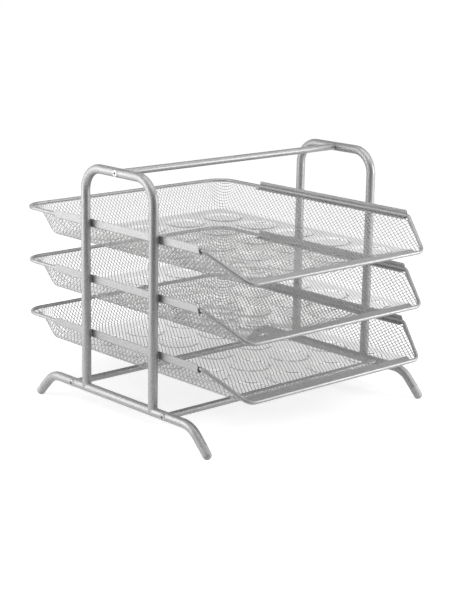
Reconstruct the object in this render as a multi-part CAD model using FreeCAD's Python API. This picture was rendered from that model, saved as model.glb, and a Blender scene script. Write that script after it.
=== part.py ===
import FreeCAD, Part
import math
import os

# A stack of three mesh document trays that slide forward in a frame of bent tube.
# Millimetres and degrees. +X is right, +Y is back, +Z is up.
# The origin is on the table, under the middle of the trays.

# Side frames: a hoop of tube that stands on a foot tube
side_axis = 150.0            # middle of the stack to the axis of a side frame
tube_d = 9.5
tube_wall = 1.2
frame_setting = 8.5          # how far the frame's middle lies ahead of the trays' middle
upright_axis = 53.0          # the frame's middle to the axis of an upright
hoop_height = 259.3          # table to the top of the hoop
hoop_bend = 24.0             # bends are measured on the tube's axis
foot_height = 27.0           # table to the axis of the foot tube
foot_bend = 28.0
foot_angle = 45.0            # slope of the bent ends below level
foot_reach = 133.2           # the frame's middle to the centre of a foot cap's dome
weld_gap = 0.05              # between an end cut to fit a tube and that tube

# Foot caps, plugged into the ends of the foot tubes
cap_length = 8.0             # tube end to the centre of the dome
cap_stem = 11.0
cap_clear = 0.1
cap_flat_depth = 0.5         # how much of the dome is cut off where it stands

# Cross bars, with an insert and a screw at each end
bar_d = 7.0
bar_wall = 1.0
base_bar_axis = 73.0         # the frame's middle to the axis of a lower bar
insert_length = 12.0
insert_setback = 1.5         # from the side tube's face to the end of the insert
insert_clear = 0.05
screw_d = 3.0
screw_clear = 0.2
screw_reach = 8.0            # length of thread inside the insert
head_d = 7.0
head_height = 2.2
head_round = 0.9
head_clear = 0.15
recess_length = 4.2
recess_width = 1.2
recess_depth = 1.3

# Trays: a rim of wire round a pan of pressed mesh
wire_d = 4.0
tray_half_depth = 165.6      # the trays' middle to the axis of the front or back wire
rim_corner = 21.0            # round back corners, on the wire's axis
rim_bend = 7.0               # where the rim starts to slope down
front_corner = 12.0
front_drop = 28.0            # from the level rim to the front wire
front_inset = 22.3           # how far the front wire's ends lie inside the level rim
slope_start = 2.0            # ahead of the rails
pan_sheet = 0.8
pan_depth = 28.8             # level rim's axis to the middle of the floor's sheet
pan_corner = 32.0            # the walls' round back corners, measured out to the rim's axis
flange_width = 5.5           # level strip from the rim's axis to the walls
flange_bend = 2.0            # folds are measured in the middle of the sheet
wall_angle = 26.5            # of the walls, from upright
fold_radius = 8.0            # between the walls and the floor
dimple_d = 40.0
dimple_depth = 1.8
dimple_slope = 1.6           # how far a recess narrows from its edge to its bottom
dimple_pitch = 56.0
dimple_columns = 4
dimple_rows = 5
mesh_columns = 12            # openings across the floor or along a wall, far fewer than in the real mesh
mesh_rows = 12               # openings from front to back of the floor
wall_rows = 1                # openings from the bottom to the top of a wall
mesh_strand = 3.0            # metal left between two openings
mesh_border = 6.0            # plain sheet left round each field of openings
tray_names = ["lower", "middle", "upper"]
lower_rim_height = 82.3      # table to the axis of the lowest level rim
tray_pitch = 56.9

# Rails: folded ledges on the inner side of the uprights
rail_length = 224.0
rail_sheet = 1.0
rail_height = 8.4
rail_ledge = 8.6             # width of the ledge that carries the rim
rail_fold = 0.9
rail_slant = 3.5             # how far the top of the front end is cut back
rim_side_clear = 0.75        # rim to the rail's upright web
rim_seat_clear = 0.3         # rim to the rail's ledge

overrun = 5.0                # how far a cutting shape passes the piece that it cuts
quarter_turn = 90.0

# Sizes worked out from the ones above
tube_r = tube_d / 2
tube_bore = tube_d - 2 * tube_wall
hoop_axis = hoop_height - tube_r
dome_height = tube_r - cap_flat_depth
knee_axis = foot_reach - (foot_height - dome_height) / math.tan(math.radians(foot_angle))
bar_bore = bar_d - 2 * bar_wall
spot_d = head_d + 2 * head_clear
spot_plane = math.sqrt(tube_r ** 2 - (spot_d / 2) ** 2)
rail_face = side_axis - tube_r
rail_bottom = -wire_d / 2 - rim_seat_clear - rail_sheet
rim_half_width = rail_face - rail_sheet - rim_side_clear - wire_d / 2
slope_y = -frame_setting - rail_length / 2 - rail_slant / 2 - slope_start
lean = math.radians(wall_angle)
wall_run = pan_depth * math.tan(lean)
fold_setback = fold_radius * math.tan((math.pi / 2 - lean) / 2)
wall_inset = flange_width + wall_run + fold_setback
floor_half_width = rim_half_width - wall_inset
floor_back = tray_half_depth - wall_inset
floor_middle = (floor_back - tray_half_depth) / 2

V = FreeCAD.Vector
RIGHT = V(1, 0, 0)
BACK = V(0, 1, 0)
UP = V(0, 0, 1)
frame_place = -BACK * frame_setting


def path_through(points, radii):
    """Straight runs through the points, joined by one tangent arc at each inner point."""
    edges = []
    start = points[0]
    for corner, after, radius in zip(points[1:-1], points[2:], radii):
        before = (start - corner).normalize()
        ahead = (after - corner).normalize()
        half_angle = before.getAngle(ahead) / 2
        setback = radius / math.tan(half_angle)
        inward = (before + ahead).normalize()
        first = corner + before * setback
        middle = corner + inward * (radius / math.sin(half_angle) - radius)
        last = corner + ahead * setback
        edges.append(Part.LineSegment(start, first).toShape())
        edges.append(Part.Arc(first, middle, last).toShape())
        start = last
    edges.append(Part.LineSegment(start, points[-1]).toShape())
    return Part.Wire(edges)


def rod_along(path, diameter):
    """A round rod swept along a path."""
    first = path.Edges[0]
    start = first.valueAt(first.FirstParameter)
    heading = first.tangentAt(first.FirstParameter)
    ring = Part.Wire(Part.makeCircle(diameter / 2, start, heading))
    return path.makePipeShell([ring], True, False)


def tube_along(path, diameter, bore):
    """A round tube swept along a path."""
    return rod_along(path, diameter).cut(rod_along(path, bore))


def sheet_section(points, radii, thickness):
    """Section of a folded sheet in the XZ plane, from the line along the middle of the sheet."""
    runs = [(after - before).normalize() for before, after in zip(points, points[1:])]
    outlines = []
    for side in (thickness / 2, -thickness / 2):
        across = [V(-run.z, 0, run.x) * side for run in runs]
        line = [points[0] + across[0]]
        bends = []
        for index, radius in enumerate(radii):
            first, second = runs[index], runs[index + 1]
            spread = across[index] + across[index + 1]
            line.append(points[index + 1] + spread * (1 / (1 + first.dot(second))))
            bends.append(radius + side if first.cross(second).y > 0 else radius - side)
        line.append(points[-1] + across[-1])
        outlines.append((line, bends))
    (line, bends), (far_line, far_bends) = outlines
    near = path_through(line, bends)
    far = path_through(far_line[::-1], far_bends[::-1])
    end_edge = Part.LineSegment(line[-1], far_line[-1]).toShape()
    start_edge = Part.LineSegment(far_line[0], line[0]).toShape()
    return Part.Face(Part.Wire(near.Edges + [end_edge] + far.Edges + [start_edge]))


def mirrored(shape):
    """The same shape on the other side of the stack."""
    return shape.mirror(V(0, 0, 0), RIGHT)


def flat_face(points):
    """A flat face with straight edges."""
    return Part.Face(Part.makePolygon(points + [points[0]]))


def one_solid(pieces):
    """Joins touching solids into one and removes the seams between them."""
    return pieces[0].multiFuse(pieces[1:]).removeSplitter()


# Every screw of the right side frame goes in along -X at one of these places.
top_screw = V(side_axis, 0, hoop_axis)
front_screw = V(side_axis, -base_bar_axis, foot_height)
rear_screw = V(side_axis, base_bar_axis, foot_height)


def screw_hole(place):
    """The hole through both walls of a side tube, with a flat seat for the screw's head."""
    hole_r = screw_d / 2 + screw_clear
    hole = Part.makeCylinder(hole_r, tube_d + 2 * overrun, place - RIGHT * (tube_r + overrun), RIGHT)
    seat = Part.makeCylinder(spot_d / 2, tube_r + overrun, place + RIGHT * spot_plane, RIGHT)
    return hole.fuse(seat)


def screw(place):
    """A pan-head screw with a cross recess, seated on the outside of a side tube."""
    seat = place + RIGHT * spot_plane
    head = Part.makeCylinder(head_d / 2, head_height, seat, RIGHT)
    rim_edges = [edge for edge in head.Edges if edge.BoundBox.XMin > seat.x + head_height / 2]
    head = head.makeFillet(head_round, rim_edges)
    shank_length = spot_plane + tube_r + insert_setback + screw_reach
    shank = Part.makeCylinder(screw_d / 2, shank_length, seat, -RIGHT)
    slot = Part.makeBox(recess_depth + overrun, recess_length, recess_width)
    slot.translate(seat + V(head_height - recess_depth, -recess_length / 2, -recess_width / 2))
    cross = slot.copy()
    cross.rotate(seat, RIGHT, quarter_turn)
    return head.fuse(shank).cut(slot).cut(cross)


def insert(place):
    """A threaded insert inside the end of a cross bar."""
    end = place - RIGHT * (tube_r + insert_setback)
    body = Part.makeCylinder(bar_bore / 2 - insert_clear, insert_length, end, -RIGHT)
    thread_r = screw_d / 2 + insert_clear
    thread = Part.makeCylinder(thread_r, insert_length + 2 * overrun, end + RIGHT * overrun, -RIGHT)
    return body.cut(thread)


def hoop():
    """The right hoop, its lower ends cut to sit on the foot tube."""
    path = path_through(
        [
            V(side_axis, -upright_axis, foot_height),
            V(side_axis, -upright_axis, hoop_axis),
            V(side_axis, upright_axis, hoop_axis),
            V(side_axis, upright_axis, foot_height),
        ],
        [hoop_bend, hoop_bend],
    )
    base = V(side_axis, -upright_axis - tube_d, foot_height)
    saddle = Part.makeCylinder(tube_r + weld_gap, 2 * (upright_axis + tube_d), base, BACK)
    return tube_along(path, tube_d, tube_bore).cut(saddle).cut(screw_hole(top_screw))


def foot_heading(end):
    """The way a foot tube's bent end points, end being -1 in front and 1 behind."""
    slope = math.radians(foot_angle)
    return V(0, end * math.cos(slope), -math.sin(slope))


def dome_centre(end):
    """The centre of the dome of one of the right foot caps."""
    return V(side_axis, end * foot_reach, dome_height)


def foot_tube():
    """The right foot tube, from one cap to the other."""
    path = path_through(
        [
            dome_centre(-1) - foot_heading(-1) * cap_length,
            V(side_axis, -knee_axis, foot_height),
            V(side_axis, knee_axis, foot_height),
            dome_centre(1) - foot_heading(1) * cap_length,
        ],
        [foot_bend, foot_bend],
    )
    tube = tube_along(path, tube_d, tube_bore)
    return tube.cut(screw_hole(front_screw)).cut(screw_hole(rear_screw))


def foot_cap(end):
    """A right foot cap: a stem in the tube, a short barrel and a dome that stands flat on the table."""
    centre = dome_centre(end)
    heading = foot_heading(end)
    tube_end = centre - heading * cap_length
    stem = Part.makeCylinder(tube_bore / 2 - cap_clear, cap_stem, tube_end, -heading)
    barrel = Part.makeCylinder(tube_r, cap_length, tube_end, heading)
    dome = Part.makeSphere(tube_r, centre)
    below = Part.makeBox(2 * tube_d, 2 * tube_d, tube_d)
    below.translate(centre - V(tube_d, tube_d, tube_d + dome_height))
    return one_solid([barrel, dome, stem]).cut(below)


def cross_bar(place):
    """A bar between the side frames, both ends cut to fit the tubes that they meet."""
    start = V(-place.x, place.y, place.z)
    bar = Part.makeCylinder(bar_d / 2, 2 * side_axis, start, RIGHT)
    bar = bar.cut(Part.makeCylinder(bar_bore / 2, 2 * side_axis, start, RIGHT))
    for end in (start, place):
        side_tube = Part.makeCylinder(tube_r + weld_gap, 2 * tube_d, end - BACK * tube_d, BACK)
        bar = bar.cut(side_tube)
    return bar


def rail():
    """A right rail under the level rim, whose axis is at height zero here."""
    middle = rail_sheet / 2
    bottom = rail_bottom
    top = bottom + rail_height
    section = sheet_section(
        [
            V(rail_face - rail_ledge, 0, bottom + middle),
            V(rail_face - middle, 0, bottom + middle),
            V(rail_face - middle, 0, top),
        ],
        [rail_fold],
        rail_sheet,
    )
    front = -rail_length / 2
    section.translate(BACK * (front - rail_slant))
    ledge = section.extrude(BACK * (rail_length + rail_slant))
    side_view = flat_face([
        V(0, front - rail_slant / 2, bottom),
        V(0, front + rail_slant / 2, top),
        V(0, -front, top),
        V(0, -front, bottom),
    ])
    return ledge.common(side_view.extrude(RIGHT * side_axis))


def tray_rim():
    """The whole rim wire, with its level part at height zero."""
    path = path_through(
        [
            V(0, tray_half_depth, 0),
            V(rim_half_width, tray_half_depth, 0),
            V(rim_half_width, slope_y, 0),
            V(rim_half_width - front_inset, -tray_half_depth, -front_drop),
            V(0, -tray_half_depth, -front_drop),
        ],
        [rim_corner, rim_bend, front_corner],
    )
    right_half = rod_along(path, wire_d)
    return one_solid([right_half, mirrored(right_half)])


def wall_section():
    """Section of the right wall, from the middle of its flange to just past the fold at the floor."""
    foot = rim_half_width - flange_width - wall_run
    return sheet_section(
        [
            V(rim_half_width - flange_width / 2, 0, 0),
            V(rim_half_width - flange_width, 0, 0),
            V(foot, 0, -pan_depth),
            V(floor_half_width - pan_sheet, 0, -pan_depth),
        ],
        [flange_bend, fold_radius],
        pan_sheet,
    )


def open_front_plate(half_width, back, corner, height):
    """A level plate, as thick as the pan's sheet, with round back corners."""
    low = height - pan_sheet / 2
    front_right = V(half_width, -tray_half_depth, low)
    front_left = V(-half_width, -tray_half_depth, low)
    outline = path_through(
        [front_left, V(-half_width, back, low), V(half_width, back, low), front_right],
        [corner, corner],
    )
    front_edge = Part.LineSegment(front_right, front_left).toShape()
    return Part.Face(Part.Wire(outline.Edges + [front_edge])).extrude(UP * pan_sheet)


def flange():
    """The level strip between the rim and the walls, on three sides."""
    strip = flange_width / 2
    outside = open_front_plate(rim_half_width, tray_half_depth, rim_corner, 0)
    inside = open_front_plate(
        rim_half_width - strip, tray_half_depth - strip, pan_corner - strip, 0
    )
    return outside.cut(inside)


def slope_flange():
    """The strip between the right sloping wire and the wall, down to where the two meet."""
    steepness = front_drop / (slope_y + tray_half_depth)
    wire_run = front_inset / front_drop
    meeting_drop = flange_width / (wire_run - math.tan(lean))
    meeting_inset = meeting_drop * wire_run
    outline = flat_face([
        V(rim_half_width, slope_y, 0),
        V(rim_half_width - flange_width, slope_y, 0),
        V(rim_half_width - meeting_inset, slope_y - meeting_drop / steepness, -meeting_drop),
    ])
    square = V(0, -steepness, 1).normalize()
    return outline.extrude(-square * pan_sheet)


def dimple(place, edge_d, drop):
    """A shallow round recess below a place on the floor."""
    return Part.makeCone(edge_d / 2, edge_d / 2 - dimple_slope, drop, place, -UP)


def openings(middle, across, along, width, height, rows):
    """Flat diamonds in staggered rows, which fill a field of the mesh round its middle."""
    half_x = width / mesh_columns / 2
    half_y = height / rows / 2
    inscribed = half_x * half_y / math.hypot(half_x, half_y)
    open_share = 1 - mesh_strand / 2 / inscribed
    to_side = across * (half_x * open_share)
    to_end = along * (half_y * open_share)
    diamonds = []
    for column in range(1, 2 * mesh_columns):
        for row in range(1, 2 * rows):
            if column % 2 == row % 2:
                place = middle + across * (column * half_x - width / 2)
                place = place + along * (row * half_y - height / 2)
                corners = [place - to_side, place - to_end, place + to_side, place + to_end]
                diamonds.append(flat_face(corners))
    return Part.makeCompound(diamonds)


def mesh_cutters():
    """What opens the mesh of the floor, of both side walls and of the back wall."""
    floor_width = 2 * (floor_half_width - mesh_border)
    floor_depth = floor_back + tray_half_depth - 2 * mesh_border
    low = V(0, floor_middle, -pan_depth - overrun)
    floor = openings(low, RIGHT, BACK, floor_width, floor_depth, mesh_rows)
    wall_height = pan_depth - fold_radius - flange_bend
    wall_middle = -flange_bend - wall_height / 2
    corner_y = tray_half_depth - pan_corner
    side_length = corner_y - slope_y - 2 * mesh_border
    left = V(-side_axis, (corner_y + slope_y) / 2, wall_middle)
    sides = openings(left, BACK, UP, side_length, wall_height, wall_rows)
    back_width = 2 * (rim_half_width - pan_corner - mesh_border)
    back_middle = V(0, corner_y, wall_middle)
    back = openings(back_middle, RIGHT, UP, back_width, wall_height, wall_rows)
    return [
        floor.extrude(UP * 2 * overrun),
        sides.extrude(RIGHT * 2 * side_axis),
        back.extrude(BACK * (pan_corner + overrun)),
    ]


def tray_pan(rim):
    """The pressed sheet inside the rim: a flange, three walls, a floor with recesses, an open front."""
    corner_x = rim_half_width - pan_corner
    corner_y = tray_half_depth - pan_corner
    section = wall_section()
    side_section = section.copy()
    side_section.translate(-BACK * tray_half_depth)
    right_wall = side_section.extrude(BACK * (tray_half_depth + corner_y))
    corner_section = section.copy()
    corner_section.translate(BACK * corner_y)
    right_corner = corner_section.revolve(V(corner_x, corner_y, 0), UP, quarter_turn)
    back_section = corner_section.copy()
    back_section.rotate(V(corner_x, corner_y, 0), UP, quarter_turn)
    back_wall = back_section.extrude(-RIGHT * 2 * corner_x)
    floor_inset = wall_inset + pan_sheet
    floor = open_front_plate(
        rim_half_width - floor_inset,
        tray_half_depth - floor_inset,
        pan_corner - floor_inset,
        -pan_depth,
    )
    right_slope = slope_flange()
    sides = [right_wall, mirrored(right_wall), right_corner, mirrored(right_corner)]
    strips = [flange(), right_slope, mirrored(right_slope)]
    pan = one_solid([floor, back_wall] + sides + strips)
    floor_top = pan_sheet / 2 - pan_depth
    bosses = []
    hollows = []
    for column in range(dimple_columns):
        for row in range(dimple_rows):
            x = (column - (dimple_columns - 1) / 2) * dimple_pitch
            y = floor_middle + (row - (dimple_rows - 1) / 2) * dimple_pitch
            place = V(x, y, floor_top)
            bosses.append(dimple(place, dimple_d + 2 * pan_sheet, dimple_depth + pan_sheet))
            hollows.append(dimple(place, dimple_d, dimple_depth))
    pan = pan.multiFuse(bosses).cut(Part.makeCompound(hollows)).cut(Part.makeCompound(mesh_cutters()))
    above_slope = flat_face([
        V(0, slope_y, 0),
        V(0, -tray_half_depth, -front_drop),
        V(0, -tray_half_depth - overrun, -front_drop),
        V(0, -tray_half_depth - overrun, overrun),
        V(0, slope_y, overrun),
    ])
    above_slope.translate(-RIGHT * side_axis)
    return pan.cut(above_slope.extrude(RIGHT * 2 * side_axis)).cut(rim)


os.makedirs("parts", exist_ok=True)

right_side = {
    "hoop": hoop(),
    "foot_tube": foot_tube(),
    "front_foot_cap": foot_cap(-1),
    "rear_foot_cap": foot_cap(1),
}
for name, shape in right_side.items():
    shape = shape.translated(frame_place)
    shape.exportStep(f"parts/right_{name}.step")
    mirrored(shape).exportStep(f"parts/left_{name}.step")

for name, place in (("top", top_screw), ("front", front_screw), ("rear", rear_screw)):
    cross_bar(place).translated(frame_place).exportStep(f"parts/{name}_cross_bar.step")
    for kind, shape in (("screws", screw(place)), ("inserts", insert(place))):
        pair = Part.makeCompound([shape, mirrored(shape)])
        pair.translated(frame_place).exportStep(f"parts/{name}_bar_{kind}.step")

right_rail = rail().translated(frame_place)
rim_shape = tray_rim()
pan_shape = tray_pan(rim_shape)
for level, name in enumerate(tray_names):
    lift = UP * (lower_rim_height + level * tray_pitch)
    pieces = {
        f"{name}_right_rail": right_rail,
        f"{name}_left_rail": mirrored(right_rail),
        f"{name}_tray_rim": rim_shape,
        f"{name}_tray_pan": pan_shape,
    }
    for node, shape in pieces.items():
        shape.translated(lift).exportStep(f"parts/{node}.step")
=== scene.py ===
import math

import bmesh
import bpy
import numpy as np
from mathutils import Matrix, Vector
from bpy.props import FloatProperty, FloatVectorProperty, IntProperty, PointerProperty


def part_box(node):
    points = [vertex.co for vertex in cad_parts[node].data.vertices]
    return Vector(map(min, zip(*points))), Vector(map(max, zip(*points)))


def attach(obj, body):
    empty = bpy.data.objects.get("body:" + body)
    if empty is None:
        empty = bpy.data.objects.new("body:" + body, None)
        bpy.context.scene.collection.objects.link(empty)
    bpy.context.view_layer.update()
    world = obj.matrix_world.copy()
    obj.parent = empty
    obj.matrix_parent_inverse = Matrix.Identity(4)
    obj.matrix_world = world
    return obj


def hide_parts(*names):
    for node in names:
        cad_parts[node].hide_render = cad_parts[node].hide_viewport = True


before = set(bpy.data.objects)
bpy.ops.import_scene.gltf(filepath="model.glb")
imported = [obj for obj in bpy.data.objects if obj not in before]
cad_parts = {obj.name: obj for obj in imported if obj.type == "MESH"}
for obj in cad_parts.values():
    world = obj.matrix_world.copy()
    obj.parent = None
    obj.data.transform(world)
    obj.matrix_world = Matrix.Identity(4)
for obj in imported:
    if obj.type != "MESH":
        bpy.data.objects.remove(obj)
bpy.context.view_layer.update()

bl_info = {
    "name": "Mesh document trays",
    "version": (1, 0, 0),
    "blender": (4, 5, 0),
    "location": "View3D > Sidebar > Trays",
    "description": "Dresses a stack of sliding mesh document trays",
    "category": "Object",
}

MM = 0.001
TRAYS = ("upper", "middle", "lower")
SIDES = ("left", "right")
BARS = ("top", "front", "rear")


# Colours and node trees

def linear(hex_colour):
    """An sRGB hex colour as linear red, green, blue and alpha."""
    shares = [int(hex_colour[i:i + 2], 16) / 255 for i in (1, 3, 5)]
    return tuple(c / 12.92 if c <= 0.04045 else ((c + 0.055) / 1.055) ** 2.4 for c in shares) + (1.0,)


def add_node(tree, kind, values=None, links=None, **settings):
    """Adds one node with its settings, its fixed values and the sockets that feed it."""
    node = tree.nodes.new(kind)
    for name, value in settings.items():
        setattr(node, name, value)
    for socket, value in (values or {}).items():
        node.inputs[socket].default_value = value
    for socket, source in (links or {}).items():
        tree.links.new(source, node.inputs[socket])
    return node


def new_material(name):
    """An empty node material and its tree."""
    material = bpy.data.materials.new(name)
    material.use_nodes = True
    material.node_tree.nodes.clear()
    return material, material.node_tree


# The sizes and colours that a user would change

class MeshSheet(bpy.types.PropertyGroup):
    diamond_length: FloatProperty(
        name="Diamond length", description="Long diagonal of one opening, front to back",
        default=6.0 * MM, min=2.0 * MM, max=20.0 * MM, unit="LENGTH")
    diamond_width: FloatProperty(
        name="Diamond width", description="Short diagonal of one opening, side to side",
        default=4.3 * MM, min=2.0 * MM, max=20.0 * MM, unit="LENGTH")
    strand_width: FloatProperty(
        name="Strand width", description="Width of the metal between two openings",
        default=0.86 * MM, min=0.1 * MM, max=3.0 * MM, unit="LENGTH")
    strand_thickness: FloatProperty(
        name="Strand thickness", description="Thickness of the mesh",
        default=0.36 * MM, min=0.1 * MM, max=2.0 * MM, unit="LENGTH")


class PanShape(bpy.types.PropertyGroup):
    depth: FloatProperty(
        name="Depth", description="From the level rim's axis down to the floor",
        default=28.8 * MM, unit="LENGTH")
    inset: FloatProperty(
        name="Inset", description="From the level rim's axis in to the edge of the flat floor",
        default=24.8 * MM, unit="LENGTH")
    back_corner: FloatProperty(
        name="Back corner", description="Radius of the walls' back corners, measured out to the rim",
        default=32.0 * MM, unit="LENGTH")
    rim_corner: FloatProperty(
        name="Rim corner", description="Radius of the rim's back corners",
        default=21.0 * MM, unit="LENGTH")
    wall_lean: FloatProperty(
        name="Wall lean", description="How far the walls lean out from upright",
        default=math.radians(26.5), subtype="ANGLE")
    fold_radius: FloatProperty(
        name="Fold radius", description="Radius between the floor and the walls",
        default=8.0 * MM, unit="LENGTH")
    flange_lean: FloatProperty(
        name="Flange lean", description="How far the edge under the rim leans out from upright",
        default=math.radians(84.0), subtype="ANGLE")
    flange_bend: FloatProperty(
        name="Flange bend", description="Radius between a wall and the edge under the rim",
        default=2.0 * MM, unit="LENGTH")
    slope_start: FloatProperty(
        name="Slope start", description="Where the rim starts down, measured back from the front wire",
        default=41.35 * MM, unit="LENGTH")
    slope_inset: FloatProperty(
        name="Slope inset", description="How far the front wire's ends lie inside the level rim",
        default=22.3 * MM, unit="LENGTH")
    front_corner: FloatProperty(
        name="Front corner", description="Radius of the wire at the front corners",
        default=12.0 * MM, unit="LENGTH")
    ramp_length: FloatProperty(
        name="Ramp length", description="Length of the front strip that rises to the wire",
        default=24.0 * MM, unit="LENGTH")
    ramp_rise: FloatProperty(
        name="Ramp rise", description="Height of the front strip at the wire",
        default=1.4 * MM, unit="LENGTH")


class Joins(bpy.types.PropertyGroup):
    hem_width: FloatProperty(
        name="Hem width", description="Width of the mesh folded flat behind the front wire",
        default=15.0 * MM, unit="LENGTH")
    hem_thickness: FloatProperty(
        name="Hem thickness", description="Thickness of the folded edge",
        default=0.4 * MM, unit="LENGTH")
    hem_ridge: FloatProperty(
        name="Hem ridge", description="Distance between two ridges of the flattened mesh",
        default=2.4 * MM, unit="LENGTH")
    bead: FloatProperty(
        name="Weld bead", description="Radius of the weld beads",
        default=0.8 * MM, unit="LENGTH")


class Dimples(bpy.types.PropertyGroup):
    width: FloatProperty(
        name="Width", description="Width of one round recess in the floor",
        default=40.0 * MM, unit="LENGTH")
    depth: FloatProperty(
        name="Depth", description="Depth of one recess",
        default=1.8 * MM, unit="LENGTH")
    edge: FloatProperty(
        name="Edge", description="Width of a recess's sloped edge",
        default=2.4 * MM, unit="LENGTH")
    pitch: FloatProperty(
        name="Pitch", description="Distance between the middles of two recesses",
        default=56.0 * MM, unit="LENGTH")
    columns: IntProperty(
        name="Columns", description="Recesses from side to side", default=4, min=1)
    rows: IntProperty(
        name="Rows", description="Recesses from front to back", default=5, min=1)


class Finish(bpy.types.PropertyGroup):
    coat: FloatVectorProperty(
        name="Powder coat", description="Silver-grey coat of the tubes, rails and rims",
        default=linear("#B4B4B4")[:3], size=3, subtype="COLOR", min=0, max=1)
    mesh: FloatVectorProperty(
        name="Mesh coat", description="Silver-grey coat of the mesh",
        default=linear("#BABABA")[:3], size=3, subtype="COLOR", min=0, max=1)
    cap: FloatVectorProperty(
        name="Foot cap", description="Grey plastic of the foot caps",
        default=linear("#DCDCDC")[:3], size=3, subtype="COLOR", min=0, max=1)
    screw: FloatVectorProperty(
        name="Screw", description="Zinc plating of the screws",
        default=linear("#B0B1AE")[:3], size=3, subtype="COLOR", min=0, max=1)
    insert: FloatVectorProperty(
        name="Insert", description="Brass of the threaded inserts",
        default=linear("#C9B27A")[:3], size=3, subtype="COLOR", min=0, max=1)


class Studio(bpy.types.PropertyGroup):
    floor: FloatVectorProperty(
        name="Floor", description="Colour of the floor",
        default=linear("#CFCFCF")[:3], size=3, subtype="COLOR", min=0, max=1)
    sky: FloatProperty(
        name="Sky", description="Strength of the even light from all round",
        default=0.05, min=0)
    side: FloatProperty(
        name="Side light", description="Power of the soft light close to the left side",
        default=4.0, min=0, unit="POWER")
    front: FloatProperty(
        name="Front light", description="Power of the soft light at the right of the front",
        default=2.9, min=0, unit="POWER")
    top: FloatProperty(
        name="Top light", description="Power of the soft light overhead",
        default=4.4, min=0, unit="POWER")


class TrayStack(bpy.types.PropertyGroup):
    sheet: PointerProperty(type=MeshSheet)
    pan: PointerProperty(type=PanShape)
    dimples: PointerProperty(type=Dimples)
    joins: PointerProperty(type=Joins)
    finish: PointerProperty(type=Finish)
    studio: PointerProperty(type=Studio)


def settings():
    """The sizes and colours of this scene's tray stack."""
    return bpy.context.scene.tray_stack


# Materials

TUBE_COAT = "Silver powder coat on tube"
MESH_COAT = "Silver powder coat on mesh"
SCREW_ZINC = "Zinc-plated steel"
CAP_PLASTIC = "Moulded grey polyethylene"
INSERT_BRASS = "Turned brass"

# Most of a noise texture's values lie between these two.
NOISE_LOW, NOISE_HIGH = 0.3, 0.7


def object_place(tree):
    """The place of a point in its piece's own axes."""
    return add_node(tree, "ShaderNodeTexCoord").outputs["Object"]


def noise(tree, place, size, detail):
    """Cloudy noise whose patches are about the given size."""
    values = {"Scale": 1 / size, "Detail": detail}
    return add_node(tree, "ShaderNodeTexNoise", values, {"Vector": place}).outputs["Fac"]


def spread(tree, value, low, high):
    """Noise brought into the range between two numbers."""
    values = {"From Min": NOISE_LOW, "From Max": NOISE_HIGH, "To Min": low, "To Max": high}
    return add_node(tree, "ShaderNodeMapRange", values, {"Value": value}).outputs["Result"]


def joined(tree, operation, first, second):
    """One number worked out from two."""
    return add_node(tree, "ShaderNodeMath", links={0: first, 1: second}, operation=operation).outputs["Value"]


def shaded(tree, colour, share):
    """A colour times a number near one."""
    node = add_node(tree, "ShaderNodeVectorMath", {0: tuple(colour)}, {"Scale": share}, operation="SCALE")
    return node.outputs["Vector"]


def skin(tree, height, strength, distance):
    """The normal of a surface with fine bumps."""
    values = {"Strength": strength, "Distance": distance}
    return add_node(tree, "ShaderNodeBump", values, {"Height": height}).outputs["Normal"]


def surface(tree, shader):
    """Makes a shader the surface of its material."""
    add_node(tree, "ShaderNodeOutputMaterial", links={"Surface": shader})


def principled(tree, values, links):
    """Ends a material with one Principled shader."""
    surface(tree, add_node(tree, "ShaderNodeBsdfPrincipled", values, links).outputs["BSDF"])


def powder_coat(name, colour):
    """Silver-grey polyester powder coat, sprayed dry and melted on in an oven.
    It has a satin sheen, a fine orange-peel skin and a faint sparkle from its metal flake."""
    flake_share = 0.4
    material, tree = new_material(name)
    place = object_place(tree)
    # Flake is under 0.1 mm, so it is drawn about 1.5 mm wide to show at all.
    flake = noise(tree, place, size=1.5 * MM, detail=2.0)
    cloud = noise(tree, place, size=40 * MM, detail=3.0)
    peel = noise(tree, place, size=1.1 * MM, detail=1.0)
    speck = spread(tree, flake, low=0.78, high=1.14)
    tone = spread(tree, cloud, low=0.97, high=1.03)
    links = {
        "Base Color": shaded(tree, colour, joined(tree, "MULTIPLY", speck, tone)),
        "Roughness": spread(tree, cloud, low=0.36, high=0.46),
        "Normal": skin(tree, peel, strength=0.35, distance=0.06 * MM),
    }
    principled(tree, {"Metallic": flake_share}, links)
    return material


def zinc_plate(name, colour):
    """Zinc-plated steel, bright and a little cloudy."""
    material, tree = new_material(name)
    cloud = noise(tree, object_place(tree), size=1.5 * MM, detail=4.0)
    tone = spread(tree, cloud, low=0.85, high=1.05)
    rough = spread(tree, cloud, low=0.22, high=0.36)
    principled(tree, {"Metallic": 1.0}, {"Base Color": shaded(tree, colour, tone), "Roughness": rough})
    return material


def moulded_polyethylene(name, colour):
    """Grey polyethylene, injection moulded: a soft waxy sheen over a fine spark-eroded grain."""
    material, tree = new_material(name)
    place = object_place(tree)
    grain = noise(tree, place, size=0.35 * MM, detail=2.0)
    scuff = noise(tree, place, size=6 * MM, detail=3.0)
    links = {
        "Base Color": shaded(tree, colour, spread(tree, scuff, low=0.94, high=1.05)),
        "Roughness": spread(tree, scuff, low=0.42, high=0.56),
        "Normal": skin(tree, grain, strength=0.25, distance=0.02 * MM),
    }
    principled(tree, {"IOR": 1.51}, links)
    return material


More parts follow.
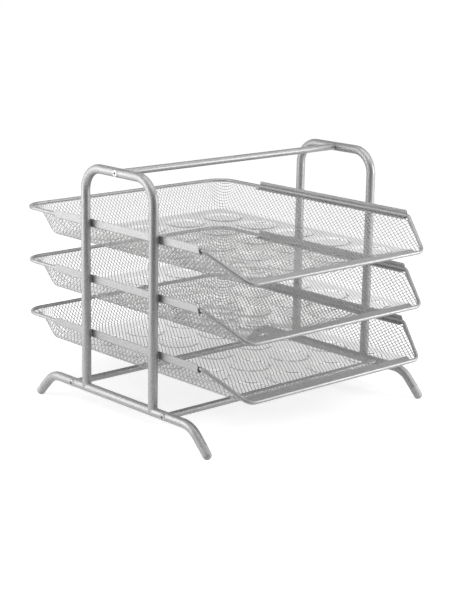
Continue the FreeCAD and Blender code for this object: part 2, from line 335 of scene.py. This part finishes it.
def turned_brass(name, colour):
    """Free-cutting brass as it comes off the lathe: fine rings round the bar's length."""
    material, tree = new_material(name)
    values = {"Scale": 1 / (2.4 * MM), "Distortion": 0.4}
    rings = add_node(tree, "ShaderNodeTexWave", values, {"Vector": object_place(tree)}, bands_direction="X")
    tone = add_node(
        tree, "ShaderNodeMapRange", {"To Min": 0.9, "To Max": 1.03}, {"Value": rings.outputs["Fac"]})
    tint = shaded(tree, colour, tone.outputs["Result"])
    principled(tree, {"Metallic": 1.0, "Roughness": 0.3}, {"Base Color": tint})
    return material


def finish_of(name):
    """The material of that name, made on first use."""
    found = bpy.data.materials.get(name)
    if found:
        return found
    colours = settings().finish
    makers = {
        TUBE_COAT: (powder_coat, colours.coat),
        MESH_COAT: (powder_coat, colours.mesh),
        SCREW_ZINC: (zinc_plate, colours.screw),
        CAP_PLASTIC: (moulded_polyethylene, colours.cap),
        INSERT_BRASS: (turned_brass, colours.insert),
    }
    maker, colour = makers[name]
    return maker(name, colour)


def dress(nodes, finish):
    """Gives carried-over pieces of the frame their finish."""
    for node in nodes:
        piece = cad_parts[node]
        piece.data.materials.clear()
        piece.data.materials.append(finish_of(finish))


# Mesh pans

WIRE_RADIUS = 2 * MM
PROFILE_STEPS = 400
# The most that the front strip rises, as a share of its rise at the wire.
RAMP_LIMIT = 1.2
# How late a wall's top curls in to the wire along the slope, and the least length of wall for that.
CURL_POWER = 4
CURL_LENGTH = 1 * MM
# Half the distance over which the pan's direction is measured.
FACING_STEP = 0.25 * MM
# These keep a division by nothing away.
TINY_LENGTH, TINY_AREA = 1e-9, 1e-12


class PressedPan:
    """Bends a flat sheet of mesh into one pan. The level rim's axis is at height zero."""

    def __init__(self, rim_node):
        stack = settings()
        self.shape, self.dimples = stack.pan, stack.dimples
        low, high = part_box(rim_node)
        self.rim_z = high.z - WIRE_RADIUS
        self.half_width = high.x - WIRE_RADIUS
        self.back = high.y - WIRE_RADIUS
        self.front = low.y + WIRE_RADIUS
        self.drop = self.rim_z - (low.z + WIRE_RADIUS)
        shape = self.shape
        self.corner = shape.back_corner - shape.inset
        self.core_x = self.half_width - shape.inset - self.corner
        self.core_back = self.back - shape.inset - self.corner
        self.floor_middle = (self.front + self.back - shape.inset) / 2
        self.lay_out_profile()
        self.lay_out_front_corner()

    def lay_out_profile(self):
        """Lengths along a wall, from the floor up: fold, wall, bend and edge."""
        shape = self.shape
        wall = math.pi / 2 - shape.wall_lean
        edge = math.pi / 2 - shape.flange_lean
        fold_rise = shape.fold_radius * (1 - math.cos(wall))
        fold_run = shape.fold_radius * math.sin(wall)
        bend_rise = shape.flange_bend * (math.cos(edge) - math.cos(wall))
        bend_run = shape.flange_bend * (math.sin(wall) - math.sin(edge))
        rise, run = shape.depth - fold_rise - bend_rise, shape.inset - fold_run - bend_run
        turn = math.sin(wall) * math.cos(edge) - math.cos(wall) * math.sin(edge)
        self.wall_length = (rise * math.cos(edge) - run * math.sin(edge)) / turn
        self.edge_length = (run * math.sin(wall) - rise * math.cos(wall)) / turn
        self.wall_angle, self.edge_angle = wall, edge
        self.fold_end = shape.fold_radius * wall
        self.wall_end = self.fold_end + self.wall_length
        self.bend_end = self.wall_end + shape.flange_bend * (wall - edge)
        self.length = self.bend_end + self.edge_length
        self.lengths = np.linspace(0, self.length, PROFILE_STEPS)
        self.rises = self.profile(self.lengths)[1]

    def profile(self, length):
        """How far out and how high a wall is at a length along it from the floor's edge."""
        shape = self.shape
        wall, edge = self.wall_angle, self.edge_angle
        turned = np.clip(length, 0, self.fold_end) / shape.fold_radius
        run = shape.fold_radius * np.sin(turned) + np.minimum(length, 0)
        rise = shape.fold_radius * (1 - np.cos(turned))
        straight = np.clip(length - self.fold_end, 0, self.wall_length)
        run, rise = run + straight * math.cos(wall), rise + straight * math.sin(wall)
        angle = wall - np.clip(length - self.wall_end, 0, self.bend_end - self.wall_end) / shape.flange_bend
        run = run + shape.flange_bend * (math.sin(wall) - np.sin(angle))
        rise = rise + shape.flange_bend * (np.cos(angle) - math.cos(wall))
        last = np.maximum(length - self.bend_end, 0)
        return run + last * math.cos(edge), rise + last * math.sin(edge)

    def lay_out_front_corner(self):
        """The arc of the rim wire at the right front corner."""
        shape = self.shape
        corner = np.array([self.half_width - shape.slope_inset, self.front, -self.drop])
        up_slope = np.array([shape.slope_inset, shape.slope_start, self.drop])
        up_slope /= np.linalg.norm(up_slope)
        inward = np.array([-1.0, 0.0, 0.0])
        half = math.acos(float(up_slope @ inward)) / 2
        middle = up_slope + inward
        middle /= np.linalg.norm(middle)
        self.arc_centre = corner + middle * shape.front_corner / math.sin(half)
        across = up_slope - (up_slope @ inward) * inward
        self.arc_axes = inward, across / np.linalg.norm(across)
        setback = shape.front_corner / math.tan(half)
        ends = [corner + way * setback - self.arc_centre for way in (inward, up_slope)]
        self.arc_sector = [end @ np.stack(self.arc_axes, 1) for end in ends]

    def rim_drop(self, y):
        """How far the rim's axis is below its level part."""
        return np.clip((self.front + self.shape.slope_start - y) / self.shape.slope_start, 0, 1) * self.drop

    def ramp(self, y):
        """Rise of the front strip."""
        share = np.clip((self.front + self.shape.ramp_length - y) / self.shape.ramp_length, 0, RAMP_LIMIT)
        return self.shape.ramp_rise * share

    def most_length(self, y):
        """Length of the wall from the floor's edge up to the rim."""
        rise = self.shape.depth - self.rim_drop(y) - self.ramp(y)
        return np.interp(rise, self.rises, self.lengths)

    def overshoot(self, flat):
        """How far points of the flat sheet lie beyond the rim, negative inside it."""
        core = self.core_of(flat)
        reach = np.linalg.norm(flat - core, axis=1) - self.corner
        return np.maximum(reach - self.most_length(flat[:, 1]), self.front - flat[:, 1])

    def core_of(self, flat):
        """The nearest places to flat points in the part of the floor that the corners turn about."""
        return np.stack(
            [np.clip(flat[:, 0], -self.core_x, self.core_x), np.minimum(flat[:, 1], self.core_back)], 1)

    def held(self, flat):
        """Points of the flat sheet, with those beyond the rim drawn back to it."""
        flat = np.stack([flat[:, 0], np.maximum(flat[:, 1], self.front)], 1)
        core = self.core_of(flat)
        away = flat - core
        reach = np.linalg.norm(away, axis=1)
        most = self.corner + self.most_length(flat[:, 1])
        share = np.where(reach > most, most / np.maximum(reach, TINY_LENGTH), 1.0)
        return core + away * share[:, None]

    def pressed(self, flat):
        """Places of flat points on the finished pan."""
        core = self.core_of(flat)
        away = flat - core
        reach = np.linalg.norm(away, axis=1)
        way = away / np.maximum(reach, TINY_LENGTH)[:, None]
        length = reach - self.corner
        run, rise = self.profile(length)
        y = flat[:, 1]
        on_edge = np.clip((length - self.bend_end) / self.edge_length, 0, 1)
        run = run + self.corner_reach(np.abs(way)) * on_edge
        # Along the slope the wall's top curls to the straight wire.
        most = self.most_length(y)
        wire_in = self.rim_drop(y) / self.drop * self.shape.slope_inset
        wall_in = self.shape.inset - self.profile(most)[0]
        curl = np.clip(length / np.maximum(most, CURL_LENGTH), 0, 1) ** CURL_POWER
        sloped = y < self.front + self.shape.slope_start
        run = run - np.where(sloped, (wire_in - wall_in) * curl, 0)
        spot = core + way * (self.corner + run)[:, None]
        height = rise - self.shape.depth + self.ramp(y) - self.dimple(spot)
        return np.column_stack([spot, height])

    def corner_reach(self, way):
        """How much further out the rim is than the walls' rounding, seen from a back corner's middle."""
        shape = self.shape
        tight = shape.rim_corner
        offset = shape.back_corner - tight
        along = offset * way.sum(1)
        arc = along + np.sqrt(np.maximum(along ** 2 - 2 * offset ** 2 + tight ** 2, 0))
        # One of a direction's two parts is over a half, except where there is no direction.
        side = shape.back_corner / np.maximum(way.max(1), 0.5)
        return np.minimum(arc, side) - shape.back_corner

    def nearest_dimple(self, along, count):
        """Places of the nearest recesses in a row of them, measured from the row's middle."""
        offset = 0.5 if count % 2 == 0 else 0.0
        number = np.round(along / self.dimples.pitch - offset) + offset
        last = (count - 1) / 2
        return np.clip(number, -last, last) * self.dimples.pitch

    def dimple(self, spot):
        """Depth of the recesses at places on the floor."""
        dimples = self.dimples
        x, y = spot[:, 0], spot[:, 1] - self.floor_middle
        away = np.hypot(x - self.nearest_dimple(x, dimples.columns), y - self.nearest_dimple(y, dimples.rows))
        share = np.clip((dimples.width / 2 + dimples.edge / 2 - away) / dimples.edge, 0, 1)
        return dimples.depth * share * share * (3 - 2 * share)

    def facing(self, flat):
        """Upward normals of the pan at flat points."""
        side, ahead = np.array([FACING_STEP, 0]), np.array([0, FACING_STEP])
        along = self.pressed(flat + side) - self.pressed(flat - side)
        back = self.pressed(flat + ahead) - self.pressed(flat - ahead)
        normal = np.cross(along, back)
        return normal / np.maximum(np.linalg.norm(normal, axis=1), TINY_AREA)[:, None]

    def rounded(self, places):
        """Draws what would stick out past the rounded front corners back to the wire."""
        mirror = np.ones_like(places)
        mirror[:, 0] = np.where(places[:, 0] < 0, -1.0, 1.0)
        mirrored = places * mirror
        plane = (mirrored - self.arc_centre) @ np.stack(self.arc_axes, 1)
        reach = np.linalg.norm(plane, axis=1)
        first, last = self.arc_sector
        turn = np.sign(first[0] * last[1] - first[1] * last[0])
        inside = ((first[0] * plane[:, 1] - first[1] * plane[:, 0]) * turn > 0) & (
            (plane[:, 0] * last[1] - plane[:, 1] * last[0]) * turn > 0)
        out = inside & (reach > self.shape.front_corner)
        way = plane / np.maximum(reach, TINY_LENGTH)[:, None]
        on_arc = self.arc_centre + self.shape.front_corner * (way @ np.stack(self.arc_axes, 0))
        mirrored = np.where(out[:, None], on_arc, mirrored)
        return mirrored * mirror


# The four crossings of strands round an opening, in half diamonds across and along.
AROUND = ((1, 0), (0, 1), (-1, 0), (0, -1))
# An opening is kept where one of its crossings is further inside the rim than this.
LEAST_INSIDE = 0.4 * MM
# Faces that the rim squeezes to less than a square of this width are left out.
LEAST_FACE = 0.02 * MM
# The UV map's border, and the width that each of its two copies of the sheet takes.
UV_BORDER, UV_HALF = 0.01, 0.49


def sheet_points(pan, across, along):
    """Points of the flat sheet, counted in half diamonds from its middle and from its front."""
    sheet = settings().sheet
    half_width, half_length = sheet.diamond_width / 2, sheet.diamond_length / 2
    return np.stack([np.ravel(across) * half_width, pan.front + np.ravel(along) * half_length], 1)


def openings_inside(pan):
    """The counts, across and along, of the openings that lie inside the rim."""
    sheet = settings().sheet
    reach = pan.corner + pan.length
    columns = int((pan.core_x + reach) / (sheet.diamond_width / 2)) + 2
    rows = int((pan.core_back + reach - pan.front) / (sheet.diamond_length / 2)) + 2
    across, along = np.meshgrid(np.arange(-columns, columns + 1), np.arange(-1, rows + 1), indexing="ij")
    # Openings sit where the two counts add up to an odd number, and strands cross where they are even.
    odd = (across + along) % 2 == 1
    across, along = across[odd], along[odd]
    beyond = np.stack([pan.overshoot(sheet_points(pan, across + i, along + j)) for i, j in AROUND])
    keep = beyond.min(0) < -LEAST_INSIDE
    return across[keep], along[keep]


def strand_faces(across, along, number):
    """The faces of the strands, and which of them look up.
    The points are the tops of all crossings, their undersides and then the corners of the openings."""
    cells, count = len(across), len(number)
    openings = list(zip(across.tolist(), along.tolist()))
    kept = set(openings)
    corner = [np.array([number[(a + i, b + j)] for a, b in openings]) for i, j in AROUND]
    hole = [2 * count + k * cells + np.arange(cells) for k in range(4)]
    faces, is_top = [], []
    for k in range(4):
        n = (k + 1) % 4
        faces.append(np.stack([corner[k], corner[n], hole[n], hole[k]], 1))
        faces.append(np.stack([corner[k] + count, hole[k], hole[n], corner[n] + count], 1))
        is_top += [np.ones(cells, bool), np.zeros(cells, bool)]
        # A strand with no opening on its other side is closed by an outer face.
        i, j = np.array(AROUND[k]) + np.array(AROUND[n])
        alone = np.array([(a + i, b + j) not in kept for a, b in openings])
        first, last = corner[k][alone], corner[n][alone]
        faces.append(np.stack([last, first, first + count, last + count], 1))
        is_top.append(np.zeros(len(first), bool))
    return np.concatenate(faces), np.concatenate(is_top)


def lay_out_uv(mesh, flat, faces, is_top):
    """A UV map with the flat sheet twice, for the faces that look up and for the others."""
    low, high = flat.min(0), flat.max(0)
    share = (flat - low) / (high - low) * [UV_HALF, 2 * UV_HALF] + UV_BORDER
    uv = share[faces.ravel()]
    uv[:, 0] += np.where(np.repeat(is_top, 4), 0, UV_HALF)
    mesh.uv_layers.new(name="OFBake").data.foreach_set("uv", uv.ravel())


def drop_loose_points(mesh):
    """Takes out the points that no face uses."""
    edited = bmesh.new()
    edited.from_mesh(mesh)
    loose = [v for v in edited.verts if not v.link_faces]
    bmesh.ops.delete(edited, geom=loose, context="VERTS")
    edited.to_mesh(mesh)
    edited.free()


def mesh_lattice(pan, name):
    """A pan of expanded mesh: one ring of strands, with ridged faces above and below, round every opening."""
    sheet = settings().sheet
    half_width, half_length = sheet.diamond_width / 2, sheet.diamond_length / 2
    side = math.hypot(half_width, half_length)
    open_share = 1 - sheet.strand_width / 2 * side / (half_width * half_length)
    across, along = openings_inside(pan)
    crossings = np.unique(np.concatenate([np.stack([across + i, along + j], 1) for i, j in AROUND]), axis=0)
    number = {(a, b): n for n, (a, b) in enumerate(crossings.tolist())}
    crossings_flat = sheet_points(pan, crossings[:, 0], crossings[:, 1])
    at = pan.held(crossings_flat)
    middle, lift = pan.pressed(at), pan.facing(at) * sheet.strand_thickness / 2
    holes_flat = [sheet_points(pan, across + i * open_share, along + j * open_share) for i, j in AROUND]
    holes = [pan.rounded(pan.pressed(pan.held(points))) for points in holes_flat]
    places = np.concatenate([pan.rounded(middle + lift), pan.rounded(middle - lift)] + holes)

    faces, is_top = strand_faces(across, along, number)
    a, b, c, d = (places[faces[:, k]] for k in range(4))
    whole = np.linalg.norm(np.cross(c - a, d - b), axis=1) / 2 > LEAST_FACE ** 2
    faces, is_top = faces[whole], is_top[whole]
    mesh = bpy.data.meshes.new(name)
    mesh.from_pydata((places + [0, 0, pan.rim_z]).tolist(), [], faces.tolist())
    lay_out_uv(mesh, np.concatenate([crossings_flat] * 2 + holes_flat), faces, is_top)
    mesh.update()
    drop_loose_points(mesh)
    return mesh


# Height of the hem's ridges, and of its top above the mesh, as shares of its thickness.
RIDGE_SHARE, HEM_LIFT = 0.3, 0.7
RIDGE_STEPS = 4
# The least distance of the hem's ends from the wire's corners, as a share of their radius.
LEAST_CORNER = 0.2


def front_hem(pan, name):
    """The front edge of the mesh, folded back over itself and rolled flat: a thin ridged strip."""
    joins, sheet = settings().joins, settings().sheet
    steps = RIDGE_STEPS * round(joins.hem_width / joins.hem_ridge)
    along = np.linspace(0, joins.hem_width, steps + 1)
    ridge = RIDGE_SHARE * joins.hem_thickness * np.cos(2 * math.pi * along / joins.hem_ridge)
    corner = pan.shape.front_corner * np.clip(1 - along / joins.hem_width, LEAST_CORNER, 1)
    half = pan.half_width - pan.shape.slope_inset - corner
    middle = pan.pressed(np.stack([0 * along, pan.front + along], 1))
    top = middle[:, 2] + sheet.strand_thickness / 2 + HEM_LIFT * joins.hem_thickness + ridge
    edges = []
    for side, drop in ((-1, 0), (1, 0), (1, joins.hem_thickness), (-1, joins.hem_thickness)):
        edges.append(np.column_stack([side * half, middle[:, 1], top - drop + pan.rim_z]))
    count = steps + 1
    faces = []
    for k in range(4):
        first, second = k * count, (k + 1) % 4 * count
        faces += [(first + n, second + n, second + n + 1, first + n + 1) for n in range(steps)]
    faces.append((3 * count, 2 * count, count, 0))
    faces.append(tuple(k * count + steps for k in range(4)))
    mesh = bpy.data.meshes.new(name)
    mesh.from_pydata(np.concatenate(edges).tolist(), [], faces)
    mesh.materials.append(finish_of(MESH_COAT))
    return mesh


# Weld beads

def swept(name, paths, radius):
    """A mesh of round beads along some paths."""
    curve = bpy.data.curves.new(name, "CURVE")
    curve.dimensions = "3D"
    curve.bevel_depth = radius
    curve.bevel_resolution = 3
    curve.use_fill_caps = True
    for path, closed in paths:
        spline = curve.splines.new("POLY")
        spline.points.add(len(path) - 1)
        for point, place in zip(spline.points, path):
            point.co = (*place, 1.0)
        spline.use_cyclic_u = closed
    drawn = bpy.data.objects.new(name, curve)
    mesh = bpy.data.meshes.new_from_object(drawn)
    mesh.name = name
    bpy.data.objects.remove(drawn)
    bpy.data.curves.remove(curve)
    return mesh


def upright_axes(side):
    """X and the two Y of a side's uprights, and the radius of the tube, read from the frame."""
    low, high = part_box(f"{side}_hoop")
    radius = (high.x - low.x) / 2
    return (low.x + high.x) / 2, (low.y + radius, high.y - radius), radius


WELD_POINTS = 48
# Distance of a rail's beads from the upright's axis, as a share of the tube's radius.
GROOVE_SHARE = 0.45
# Distance of a bead's ends from the rail's edges, in bead radii.
END_GAP = 1.5


def base_weld(x, y, foot_z, radius, bead):
    """The saddle-shaped line where an upright meets the foot tube of the same width, half sunk into both."""
    reach = radius - bead / 2
    line = []
    for k in range(WELD_POINTS):
        turn = 2 * math.pi * k / WELD_POINTS
        across, along = math.cos(turn), math.sin(turn)
        line.append((x + reach * across, y + reach * along, foot_z + radius * abs(along)))
    return line


def rail_welds(side, x, y, radius, bead):
    """Short upright lines in the grooves where the rails touch one upright."""
    outward = 1 if x > 0 else -1
    lines = []
    for tray in TRAYS:
        low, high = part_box(f"{tray}_{side}_rail")
        face = high.x if outward > 0 else low.x
        for way in (-1, 1):
            groove = y + way * GROOVE_SHARE * radius
            gap = radius - math.sqrt(radius ** 2 - (groove - y) ** 2)
            place_x = face + outward * gap / 2
            ends = (low.z + END_GAP * bead, high.z - END_GAP * bead)
            lines.append([(place_x, groove, z) for z in ends])
    return lines


# Stage, with places and sizes in metres

STACK_MIDDLE = (0, 0, 0.12)
# Name of each lamp, the setting that holds its power, its place and its width.
LAMPS = (
    ("Side light", "side", (-0.66, 0.40, 0.32), 0.6),
    ("Front light", "front", (0.51, -0.60, 0.30), 0.35),
    ("Top light", "top", (0.05, -0.20, 0.98), 0.9),
)
# Name of each dark sheet, its place, width and height, and the place that it faces.
FLAGS = (
    ("front_flag", (-0.87, -1.69, 0.60), 2.4, 1.4, STACK_MIDDLE),
    ("back_flag", (0.57, 0.63, 1.22), 2.0, 0.75, STACK_MIDDLE),
    ("floor_cloth", (-0.85, -0.93, 0.08), 1.6, 1.4, (-0.78, -0.86, 1.08)),
)
FLOOR_WIDTH = 12.0
# A painted shade on the floor under the stack, drawn by turning the floor's glow down: its middle, where it
# starts to fade and ends, and how far the floor glows in it.
PAINTED_SHADE_MIDDLE = (0.05, 0.06, 0.0)
PAINTED_SHADE_NEAR, PAINTED_SHADE_FAR = 0.12, 0.34
PAINTED_SHADE_GLOW = 0.66
# The camera's place, its angles in degrees and its lens.
CAMERA_PLACE = (-1.06499, -1.17095, 0.49740)
CAMERA_ANGLES = (-42.42, 14.19, 0.96)
IMAGE_HEIGHT, FOCAL_PIXELS = 612, 1548.8
SENSOR_WIDTH = 36.0


def seen_directly(tree):
    """One for rays from the camera, a reflection or a clear part, and zero for light that falls on things."""
    path = add_node(tree, "ShaderNodeLightPath")
    seen = joined(tree, "MAXIMUM", path.outputs["Is Camera Ray"], path.outputs["Is Glossy Ray"])
    return joined(tree, "MAXIMUM", seen, path.outputs["Is Transmission Ray"])


def flat_sheet(name, width, height, material):
    """A flat piece with its middle at the origin."""
    x, y = width / 2, height / 2
    mesh = bpy.data.meshes.new(name)
    mesh.from_pydata([(-x, -y, 0), (x, -y, 0), (x, y, 0), (-x, y, 0)], [], [(0, 1, 2, 3)])
    mesh.materials.append(material)
    return bpy.data.objects.new(name, mesh)


# Operators, one for each piece or group of like pieces

class TRAYSTACK_OT_side_frames(bpy.types.Operator):
    """Finishes the hoops, foot tubes and cross bars"""
    bl_idname = "tray_stack.side_frames"
    bl_label = "Side frames"

    def execute(self, context):
        dress([f"{s}_{n}" for s in SIDES for n in ("hoop", "foot_tube")], TUBE_COAT)
        dress([f"{b}_cross_bar" for b in BARS], TUBE_COAT)
        return {"FINISHED"}


class TRAYSTACK_OT_rails(bpy.types.Operator):
    """Finishes the six ledge rails"""
    bl_idname = "tray_stack.rails"
    bl_label = "Rails"

    def execute(self, context):
        dress([f"{t}_{s}_rail" for t in TRAYS for s in SIDES], TUBE_COAT)
        return {"FINISHED"}


class TRAYSTACK_OT_foot_caps(bpy.types.Operator):
    """Finishes the plastic foot caps"""
    bl_idname = "tray_stack.foot_caps"
    bl_label = "Foot caps"

    def execute(self, context):
        dress([f"{s}_{e}_foot_cap" for s in SIDES for e in ("front", "rear")], CAP_PLASTIC)
        return {"FINISHED"}


class TRAYSTACK_OT_screws(bpy.types.Operator):
    """Finishes the screws and the inserts that they hold in"""
    bl_idname = "tray_stack.screws"
    bl_label = "Screws and inserts"

    def execute(self, context):
        dress([f"{b}_bar_screws" for b in BARS], SCREW_ZINC)
        dress([f"{b}_bar_inserts" for b in BARS], INSERT_BRASS)
        return {"FINISHED"}


class TRAYSTACK_OT_rims(bpy.types.Operator):
    """Finishes the wire rims of the trays"""
    bl_idname = "tray_stack.rims"
    bl_label = "Tray rims"

    def execute(self, context):
        dress([f"{t}_tray_rim" for t in TRAYS], TUBE_COAT)
        return {"FINISHED"}


class TRAYSTACK_OT_mesh_pans(bpy.types.Operator):
    """Presses the mesh pans of the three trays"""
    bl_idname = "tray_stack.mesh_pans"
    bl_label = "Mesh pans"

    def execute(self, context):
        first = PressedPan(f"{TRAYS[0]}_tray_rim")
        pattern = mesh_lattice(first, "pressed_mesh")
        pattern.materials.append(finish_of(MESH_COAT))
        for tray in TRAYS:
            pan = PressedPan(f"{tray}_tray_rim")
            mesh = pattern.copy()
            mesh.transform(Matrix.Translation((0, 0, pan.rim_z - first.rim_z)))
            piece = bpy.data.objects.new(f"{tray}_mesh", mesh)
            context.scene.collection.objects.link(piece)
            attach(piece, f"{tray}_tray")
            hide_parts(f"{tray}_tray_pan")
        bpy.data.meshes.remove(pattern)
        return {"FINISHED"}


class TRAYSTACK_OT_hems(bpy.types.Operator):
    """Folds the front edges of the mesh pans"""
    bl_idname = "tray_stack.hems"
    bl_label = "Front hems"

    def execute(self, context):
        for tray in TRAYS:
            pan = PressedPan(f"{tray}_tray_rim")
            piece = bpy.data.objects.new(f"{tray}_hem", front_hem(pan, f"{tray}_hem"))
            context.scene.collection.objects.link(piece)
            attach(piece, f"{tray}_tray")
        return {"FINISHED"}


class TRAYSTACK_OT_welds(bpy.types.Operator):
    """Lays the weld beads of the uprights and rails"""
    bl_idname = "tray_stack.welds"
    bl_label = "Weld beads"

    def execute(self, context):
        bead = settings().joins.bead
        for side in SIDES:
            x, axes, radius = upright_axes(side)
            foot_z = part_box(f"{side}_foot_tube")[1].z - radius
            paths = []
            for y in axes:
                paths.append((base_weld(x, y, foot_z, radius, bead), True))
                paths += [(line, False) for line in rail_welds(side, x, y, radius, bead)]
            mesh = swept(f"{side}_welds", paths, bead)
            mesh.materials.append(finish_of(TUBE_COAT))
            piece = bpy.data.objects.new(f"{side}_welds", mesh)
            context.scene.collection.objects.link(piece)
            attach(piece, "frame")
        return {"FINISHED"}


class TRAYSTACK_OT_stage(bpy.types.Operator):
    """Sets up the floor, the lights and the camera"""
    bl_idname = "tray_stack.stage"
    bl_label = "Stage"

    def execute(self, context):
        studio = settings().studio
        scene = context.scene
        scene.view_settings.view_transform = "Standard"
        self.floor(scene, studio)
        self.sky(scene, studio)
        for name, power, place, width in LAMPS:
            self.lamp(scene, name, getattr(studio, power), place, width)
        for name, place, width, height, faced in FLAGS:
            self.flag(scene, name, place, width, height, faced)
        self.camera(scene)
        return {"FINISHED"}

    def floor(self, scene, studio):
        """A wide pale floor. What looks at it directly sees it near white, with its real shadow left on it
        and a painted shade under the stack.
        """
        material, tree = new_material("Pale studio floor")
        # Painted shade: the floor glows less in a round patch that lies behind the stack's middle, which
        # stands in for the stack's shadow.
        place = object_place(tree)
        away = add_node(tree, "ShaderNodeVectorMath", {1: PAINTED_SHADE_MIDDLE}, {0: place}, operation="DISTANCE")
        values = {"From Min": PAINTED_SHADE_NEAR, "From Max": PAINTED_SHADE_FAR, "To Min": PAINTED_SHADE_GLOW, "To Max": 1.0}
        glow_with_painted_shade = add_node(
            tree, "ShaderNodeMapRange", values, {"Value": away.outputs["Value"]},
            interpolation_type="SMOOTHSTEP")
        strength = joined(tree, "MULTIPLY", seen_directly(tree), glow_with_painted_shade.outputs["Result"])
        matt = add_node(tree, "ShaderNodeBsdfDiffuse", {"Color": tuple(studio.floor) + (1.0,)})
        white = add_node(tree, "ShaderNodeEmission", links={"Strength": strength})
        mixed = add_node(
            tree, "ShaderNodeAddShader", links={0: matt.outputs["BSDF"], 1: white.outputs["Emission"]})
        surface(tree, mixed.outputs["Shader"])
        piece = flat_sheet("studio_floor", FLOOR_WIDTH, FLOOR_WIDTH, material)
        scene.collection.objects.link(piece)

    def sky(self, scene, studio):
        """Even light from all round, white where it is seen directly or in a reflection."""
        world = bpy.data.worlds.new("Studio")
        world.use_nodes = True
        tree = world.node_tree
        tree.nodes.clear()
        strength = add_node(
            tree, "ShaderNodeMapRange", {"To Min": studio.sky, "To Max": 1.0}, {"Value": seen_directly(tree)})
        light = add_node(
            tree, "ShaderNodeBackground", {"Color": (1.0, 1.0, 1.0, 1.0)},
            {"Strength": strength.outputs["Result"]})
        add_node(tree, "ShaderNodeOutputWorld", links={"Surface": light.outputs["Background"]})
        scene.world = world

    def lamp(self, scene, name, power, place, width):
        """A square light that faces the middle of the stack."""
        data = bpy.data.lights.new(name, "AREA")
        data.energy = power
        data.size = width
        lamp = bpy.data.objects.new(name, data)
        lamp.location = place
        aim = Vector(STACK_MIDDLE) - lamp.location
        lamp.rotation_euler = aim.to_track_quat("-Z", "Y").to_euler()
        scene.collection.objects.link(lamp)

    def flag(self, scene, name, place, width, height, faced):
        """A sheet of dark cloth out of the picture, which shades the surfaces that face it."""
        cloth = bpy.data.materials.get("Dark flag cloth")
        if cloth is None:
            cloth, tree = new_material("Dark flag cloth")
            matt = add_node(tree, "ShaderNodeBsdfDiffuse", {"Color": linear("#2A2A2A")})
            surface(tree, matt.outputs["BSDF"])
        flag = flat_sheet(name, width, height, cloth)
        flag.location = place
        aim = Vector(faced) - flag.location
        flag.rotation_euler = aim.to_track_quat("Z", "Y").to_euler()
        flag.visible_camera = False
        scene.collection.objects.link(flag)

    def camera(self, scene):
        """The photograph's view: left of the front and a little above, with a long lens."""
        azimuth, elevation, roll = (math.radians(angle) for angle in CAMERA_ANGLES)
        back = Vector((
            math.sin(azimuth) * math.cos(elevation),
            -math.cos(azimuth) * math.cos(elevation),
            math.sin(elevation)))
        level = Vector((math.cos(azimuth), math.sin(azimuth), 0))
        rise = back.cross(level)
        right = level * math.cos(roll) + rise * math.sin(roll)
        up = rise * math.cos(roll) - level * math.sin(roll)
        data = bpy.data.cameras.new("Camera")
        data.sensor_width = SENSOR_WIDTH
        data.lens = FOCAL_PIXELS * SENSOR_WIDTH / IMAGE_HEIGHT
        camera = bpy.data.objects.new("Camera", data)
        turn = Matrix((right, up, back)).transposed().to_4x4()
        camera.matrix_world = Matrix.Translation(CAMERA_PLACE) @ turn
        scene.collection.objects.link(camera)
        scene.camera = camera


class TRAYSTACK_PT_panel(bpy.types.Panel):
    """Lists the steps that dress the tray stack"""
    bl_label = "Mesh document trays"
    bl_idname = "TRAYSTACK_PT_panel"
    bl_space_type = "VIEW_3D"
    bl_region_type = "UI"
    bl_category = "Trays"

    def draw(self, context):
        stack = context.scene.tray_stack
        for group in (stack.sheet, stack.pan, stack.dimples, stack.joins, stack.finish, stack.studio):
            box = self.layout.box()
            for name in group.__annotations__:
                box.prop(group, name)
        for step in STEPS:
            self.layout.operator(step.bl_idname)


STEPS = (
    TRAYSTACK_OT_side_frames,
    TRAYSTACK_OT_rails,
    TRAYSTACK_OT_foot_caps,
    TRAYSTACK_OT_screws,
    TRAYSTACK_OT_rims,
    TRAYSTACK_OT_mesh_pans,
    TRAYSTACK_OT_hems,
    TRAYSTACK_OT_welds,
    TRAYSTACK_OT_stage,
)
CLASSES = (MeshSheet, PanShape, Joins, Dimples, Finish, Studio, TrayStack) + STEPS + (TRAYSTACK_PT_panel,)


def register():
    for cls in CLASSES:
        bpy.utils.register_class(cls)
    bpy.types.Scene.tray_stack = PointerProperty(type=TrayStack)


def unregister():
    del bpy.types.Scene.tray_stack
    for cls in reversed(CLASSES):
        bpy.utils.unregister_class(cls)


def main():
    register()
    bpy.ops.tray_stack.side_frames()
    bpy.ops.tray_stack.rails()
    bpy.ops.tray_stack.foot_caps()
    bpy.ops.tray_stack.screws()
    bpy.ops.tray_stack.rims()
    bpy.ops.tray_stack.mesh_pans()
    bpy.ops.tray_stack.hems()
    bpy.ops.tray_stack.welds()
    bpy.ops.tray_stack.stage()


if __name__ == "__main__":
    main()
